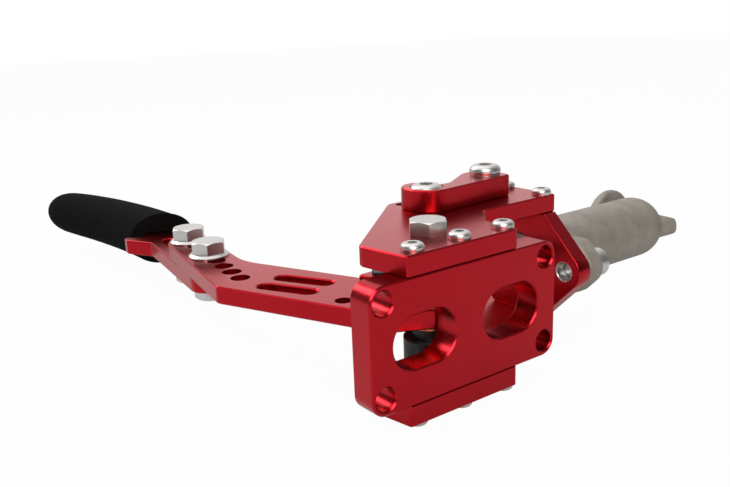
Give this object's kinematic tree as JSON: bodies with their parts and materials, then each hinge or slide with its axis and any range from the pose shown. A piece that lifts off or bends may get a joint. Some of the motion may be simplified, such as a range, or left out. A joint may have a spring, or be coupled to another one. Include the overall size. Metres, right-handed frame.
{
  "type": "hydraulic handbrake",
  "caption": "Hydraulic handbrake with a bolt-down bracket, a pivoting lever with a foam grip and a master cylinder driven by a push rod",
  "frame": {"origin": "middle of the base plate's mounting face, which is also the middle of its four bolt holes", "axes": "+X along the base plate towards the master cylinder, +Y away from the mounting face along the lever, +Z square to the side plates; the part lies on one side plate, as it would on a bench"},
  "size_m": [0.294, 0.4638, 0.1008],
  "materials": {
    "red_plates": "red anodised aluminium, satin",
    "red_lever": "red anodised aluminium, satin",
    "bright_steel": "stainless steel fasteners",
    "cast_cylinder": "as-cast grey alloy",
    "black_steel": "black oxide steel",
    "bush_bronze": "bearing bronze",
    "black_foam": "closed-cell foam",
    "black_rubber": "moulded rubber",
    "piston_alloy": "machined alloy",
    "spring_steel": "spring wire"
  },
  "bodies": {
    "bracket": {"base_plate": "red_plates", "upper_side_plate": "red_plates", "lower_side_plate": "red_plates", "flange_plate": "red_plates", "outer_strap": "red_plates", "upper_base_screws": "bright_steel", "lower_base_screws": "bright_steel", "upper_arm_screws": "bright_steel", "lower_arm_screws": "bright_steel", "strap_front_screw": "bright_steel", "strap_rear_screw": "bright_steel", "pivot_bolt": "bright_steel", "pivot_sleeve": "black_steel", "upper_pivot_spacer": "black_steel", "lower_pivot_spacer": "black_steel", "master_cylinder": "cast_cylinder", "cylinder_bolts": "bright_steel", "cylinder_washers": "bright_steel", "retaining_ring": "spring_steel", "retaining_washer": "spring_steel", "dust_boot": "black_rubber", "return_spring": "spring_steel"},
    "lever": {"lever_bar": "red_lever", "upper_lever_bush": "bush_bronze", "lower_lever_bush": "bush_bronze", "grip_bar": "red_lever", "foam_grip": "black_foam", "grip_bolts": "bright_steel", "grip_nuts": "bright_steel"},
    "push_rod_line": {"clevis": "red_lever", "clevis_pin": "black_steel", "clevis_pin_clip": "spring_steel", "push_rod": "bright_steel", "push_rod_nut": "bright_steel", "piston": "piston_alloy", "rear_piston_seal": "black_rubber", "front_piston_seal": "black_rubber"}
  },
  "joints": [
    {"name": "lever_swing", "type": "hinge", "parent": "bracket", "child": "lever", "pos_m": [-0.0035, 0.025, 0], "axis": [0, 0, -1], "range_deg": [0, 22], "stiffness_Nm_per_rad": 4, "springref_deg": -14.32},
    {"name": "push_rod_slide", "type": "slide", "parent": "bracket", "child": "push_rod_line", "axis": [1, 0, 0], "range_m": [0, 0.01261], "deforming": ["return_spring", "dust_boot"]}
  ],
  "couplings": [
    {"joint": "push_rod_slide", "follows": "lever_swing", "m_per_rad": 0.032838}
  ]
}
